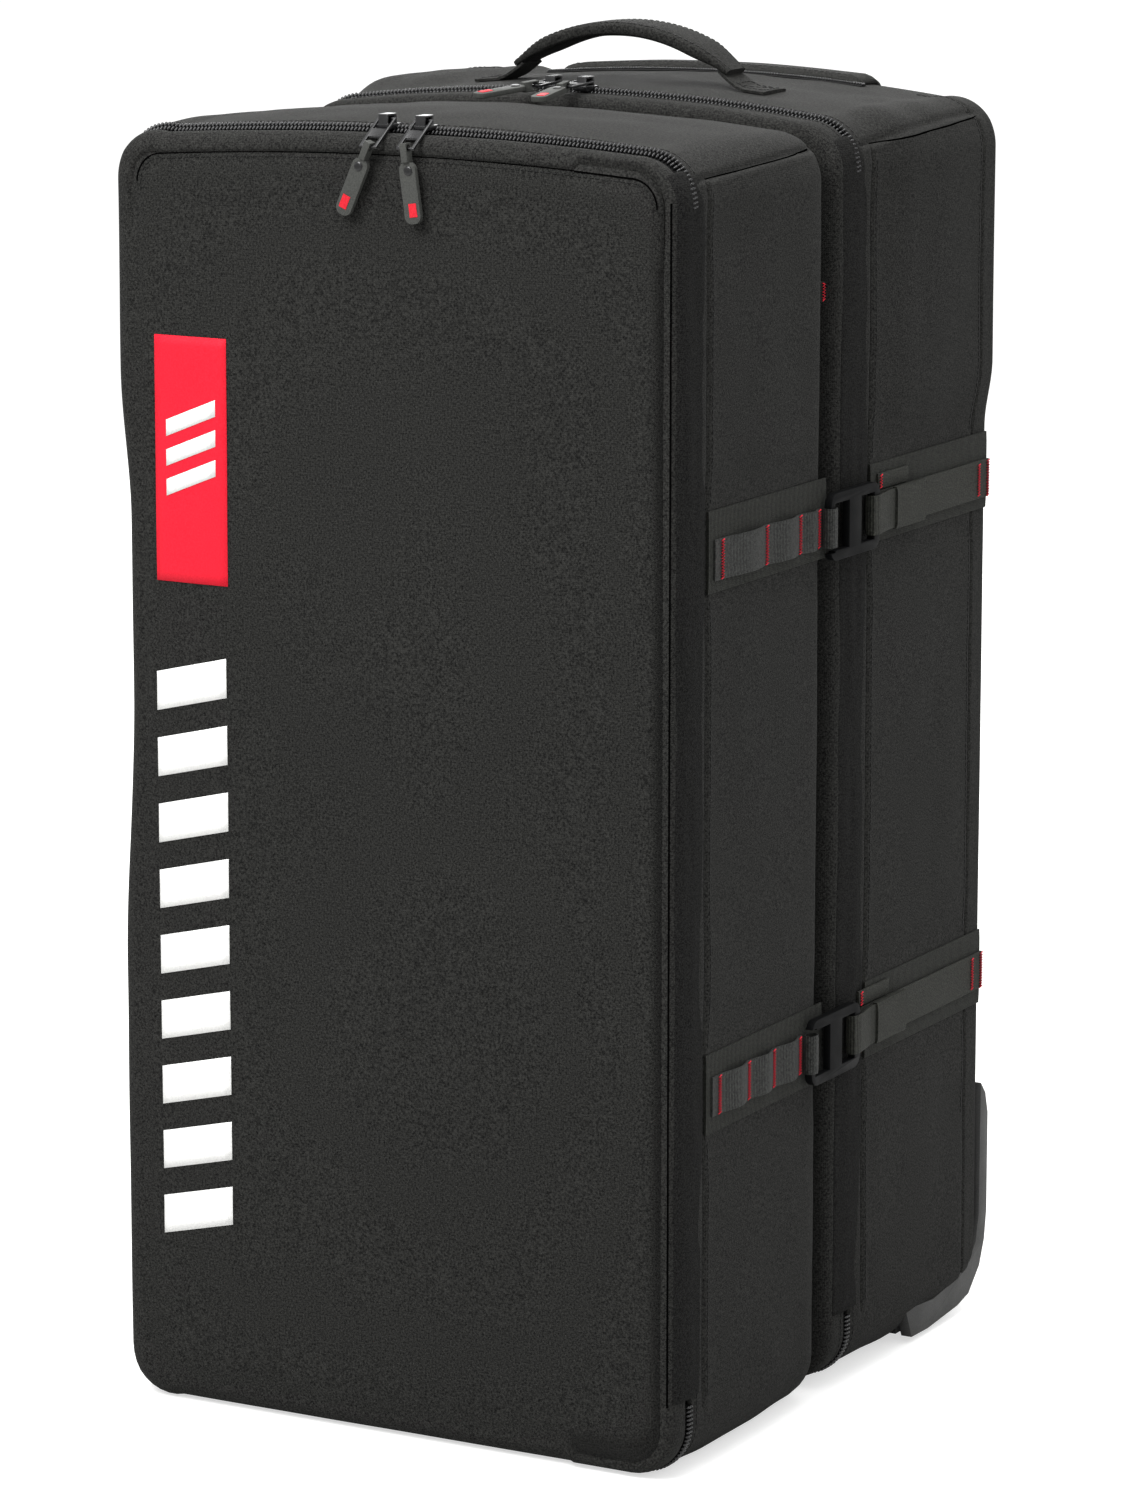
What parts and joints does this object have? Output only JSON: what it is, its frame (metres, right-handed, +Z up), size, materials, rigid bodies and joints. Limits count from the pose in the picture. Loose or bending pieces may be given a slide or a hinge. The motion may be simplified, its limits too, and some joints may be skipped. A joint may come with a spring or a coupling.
{
  "type": "wheeled snowboard bag",
  "caption": "Upright wheeled snowboard bag with two zipped compartments that open on side hinges, hooked side straps, a carry handle and a telescopic handle.",
  "frame": {"origin": "centre of the bag's bounding box on the floor it stands on", "axes": "+Z up, -Y out of the front lid, +X towards the hinge side, which is on the right when the lid faces the viewer"},
  "size_m": [0.398, 0.45, 0.84],
  "materials": {
    "fabric_black": "matt woven polyester",
    "webbing_dark": "ribbed polyester webbing",
    "webbing_grey": "ribbed polyester webbing with a sheen",
    "zip_tape": "woven tape with a coil",
    "hook_grey": "matt powder coat",
    "metal_black": "gloss paint",
    "puller_rubber": "matt moulded rubber",
    "guard_grey": "fine moulded grain",
    "housing_black": "moulded",
    "tyre_black": "matt",
    "hub_grey": "moulded",
    "axle_steel": "turned",
    "tube_aluminium": "anodised",
    "grip_black": "soft grip",
    "button_grey": "moulded",
    "board_black": "flat sheet"
  },
  "bodies": {
    "rear_bag": {"rear_gusset": "fabric_black", "rear_back_panel": "fabric_black", "back_board": "board_black", "mid_zip_tape_rear": "zip_tape", "rear_strap_bands": "webbing_dark", "strap_upper_right": "webbing_dark", "strap_upper_left": "webbing_dark", "strap_lower_right": "webbing_dark", "strap_lower_left": "webbing_dark", "strap_tabs": "webbing_dark", "handle_anchor_patches": "webbing_dark", "trolley_outer_tubes": "tube_aluminium", "trolley_top_cup": "housing_black", "trolley_foot_bracket": "housing_black", "cover_zip_tape": "zip_tape", "wheel_housing_right": "housing_black", "wheel_housing_left": "housing_black", "corner_guard_right": "guard_grey", "corner_guard_left": "guard_grey", "wheel_axles": "axle_steel"},
    "front_bag": {"front_gusset": "fabric_black", "divider_panel": "fabric_black", "rear_lid_panel": "fabric_black", "front_zip_tape_shell": "zip_tape", "mid_zip_tape_front": "zip_tape", "groove_webbing": "webbing_dark", "front_strap_bands": "webbing_dark", "daisy_webbing_right": "webbing_grey", "daisy_webbing_left": "webbing_grey", "hook_loops": "webbing_dark"},
    "front_lid": {"lid_panel": "fabric_black", "front_zip_tape_lid": "zip_tape"},
    "hook_upper_right": {"g_hook_upper_right": "hook_grey"},
    "hook_upper_left": {"g_hook_upper_left": "hook_grey"},
    "hook_lower_right": {"g_hook_lower_right": "hook_grey"},
    "hook_lower_left": {"g_hook_lower_left": "hook_grey"},
    "carry_handle": {"carry_handle": "fabric_black"},
    "handle_cover": {"handle_cover": "fabric_black"},
    "cover_slider": {"cover_slider": "metal_black"},
    "trolley_middle": {"trolley_middle_tubes": "tube_aluminium"},
    "trolley_inner": {"trolley_inner_tubes": "tube_aluminium", "trolley_grip": "grip_black"},
    "release_button": {"release_button": "button_grey"},
    "wheel_right": {"hub_right": "hub_grey", "tyre_right": "tyre_black"},
    "wheel_left": {"hub_left": "hub_grey", "tyre_left": "tyre_black"},
    "slider_front_left": {"slider_front_left": "metal_black"},
    "tab_front_left": {"tab_front_left": "metal_black"},
    "puller_front_left": {"puller_front_left": "puller_rubber"},
    "slider_front_right": {"slider_front_right": "metal_black"},
    "tab_front_right": {"tab_front_right": "metal_black"},
    "puller_front_right": {"puller_front_right": "puller_rubber"},
    "slider_mid_left": {"slider_mid_left": "metal_black"},
    "tab_mid_left": {"tab_mid_left": "metal_black"},
    "puller_mid_left": {"puller_mid_left": "puller_rubber"},
    "slider_mid_right": {"slider_mid_right": "metal_black"},
    "tab_mid_right": {"tab_mid_right": "metal_black"},
    "puller_mid_right": {"puller_mid_right": "puller_rubber"}
  },
  "joints": [
    {"name": "front_bag_open", "type": "hinge", "parent": "rear_bag", "child": "front_bag", "pos_m": [0.1885, 0.017, 0.39], "axis": [0, 0, 1], "range_deg": [0, 100], "deforming": ["hook_loops"]},
    {"name": "front_lid_open", "type": "hinge", "parent": "front_bag", "child": "front_lid", "pos_m": [0.1885, -0.195, 0.39], "axis": [0, 0, 1], "range_deg": [0, 150]},
    {"name": "hook_upper_right_turn", "type": "hinge", "parent": "rear_bag", "child": "hook_upper_right", "pos_m": [0.195, 0.039, 0.547], "axis": [0, 0, 1], "range_deg": [0, 100]},
    {"name": "hook_lower_right_turn", "type": "hinge", "parent": "rear_bag", "child": "hook_lower_right", "pos_m": [0.195, 0.021, 0.226], "axis": [0, 0, 1], "range_deg": [0, 120]},
    {"name": "hook_upper_left_turn", "type": "hinge", "parent": "rear_bag", "child": "hook_upper_left", "pos_m": [-0.195, 0.039, 0.547], "axis": [0, 0, -1], "range_deg": [0, 100]},
    {"name": "hook_lower_left_turn", "type": "hinge", "parent": "rear_bag", "child": "hook_lower_left", "pos_m": [-0.195, 0.021, 0.226], "axis": [0, 0, -1], "range_deg": [0, 100]},
    {"name": "slider_front_left_run", "type": "hinge", "parent": "front_lid", "child": "slider_front_left", "pos_m": [0, -0.198, -1.30652], "axis": [0, -1, 0], "range_deg": [0, 3.3]},
    {"name": "tab_front_left_swing", "type": "hinge", "parent": "slider_front_left", "child": "tab_front_left", "pos_m": [-0.011, -0.2005, 0.79647], "axis": [-1, 0, 0], "range_deg": [0, 100]},
    {"name": "puller_front_left_swing", "type": "hinge", "parent": "tab_front_left", "child": "puller_front_left", "pos_m": [-0.011, -0.2218, 0.78217], "axis": [-0.9135, 0, 0.4067], "range_deg": [0, 85]},
    {"name": "slider_front_right_run", "type": "hinge", "parent": "front_lid", "child": "slider_front_right", "pos_m": [0, -0.198, -1.30652], "axis": [0, 1, 0], "range_deg": [0, 3.2]},
    {"name": "tab_front_right_swing", "type": "hinge", "parent": "slider_front_right", "child": "tab_front_right", "pos_m": [0.014, -0.2005, 0.79645], "axis": [-1, 0, 0], "range_deg": [0, 100]},
    {"name": "puller_front_right_swing", "type": "hinge", "parent": "tab_front_right", "child": "puller_front_right", "pos_m": [0.014, -0.2218, 0.78215], "axis": [-0.9903, 0, -0.1392], "range_deg": [0, 85]},
    {"name": "slider_mid_left_run", "type": "hinge", "parent": "front_bag", "child": "slider_mid_left", "pos_m": [0, 0.016, -0.46411], "axis": [0, -1, 0], "range_deg": [0, 5]},
    {"name": "tab_mid_left_swing", "type": "hinge", "parent": "slider_mid_left", "child": "tab_mid_left", "pos_m": [-0.018, 0.0135, 0.80337], "axis": [-1, 0, 0], "range_deg": [0, 120]},
    {"name": "puller_mid_left_swing", "type": "hinge", "parent": "tab_mid_left", "child": "puller_mid_left", "pos_m": [-0.018, -0.012, 0.80217], "axis": [-0.9135, 0.4047, 0.0406], "range_deg": [0, 85]},
    {"name": "slider_mid_right_run", "type": "hinge", "parent": "front_bag", "child": "slider_mid_right", "pos_m": [0, 0.016, -0.46411], "axis": [0, 1, 0], "range_deg": [0, 5.6]},
    {"name": "tab_mid_right_swing", "type": "hinge", "parent": "slider_mid_right", "child": "tab_mid_right", "pos_m": [0.004, 0.0135, 0.80349], "axis": [-1, 0, 0], "range_deg": [0, 120]},
    {"name": "puller_mid_right_swing", "type": "hinge", "parent": "tab_mid_right", "child": "puller_mid_right", "pos_m": [0.004, -0.012, 0.80229], "axis": [-0.9945, -0.104, -0.0104], "range_deg": [0, 85]},
    {"name": "carry_handle_swing", "type": "hinge", "parent": "rear_bag", "child": "carry_handle", "pos_m": [0, 0.078, 0.8], "axis": [1, 0, 0], "range_deg": [-45, 45], "stiffness_Nm_per_rad": 1},
    {"name": "handle_cover_open", "type": "hinge", "parent": "rear_bag", "child": "handle_cover", "pos_m": [0, 0.2151, 0.742], "axis": [-1, 0, 0], "range_deg": [0, 150]},
    {"name": "cover_slider_run", "type": "slide", "parent": "rear_bag", "child": "cover_slider", "axis": [0, 0, 1], "range_m": [0, 0.026]},
    {"name": "handle_extend", "type": "slide", "parent": "rear_bag", "child": "trolley_inner", "axis": [0, 0, 1], "range_m": [0, 0.42], "deforming": ["handle_cover"]},
    {"name": "middle_extend", "type": "slide", "parent": "rear_bag", "child": "trolley_middle", "axis": [0, 0, 1], "range_m": [0, 0.21]},
    {"name": "release_press", "type": "slide", "parent": "trolley_inner", "child": "release_button", "axis": [0, 0, -1], "range_m": [0, 0.003], "stiffness_N_per_m": 800, "springref_m": -0.001},
    {"name": "wheel_right_spin", "type": "hinge", "parent": "rear_bag", "child": "wheel_right", "pos_m": [0.157, 0.176, 0.038], "axis": [1, 0, 0], "continuous": true},
    {"name": "wheel_left_spin", "type": "hinge", "parent": "rear_bag", "child": "wheel_left", "pos_m": [-0.157, 0.176, 0.038], "axis": [1, 0, 0], "continuous": true}
  ],
  "couplings": [
    {"joint": "middle_extend", "follows": "handle_extend", "ratio": 0.5},
    {"joint": "hook_upper_right_turn", "follows": "front_bag_open", "ratio": 1},
    {"joint": "hook_lower_right_turn", "follows": "front_bag_open", "ratio": 1.2}
  ]
}
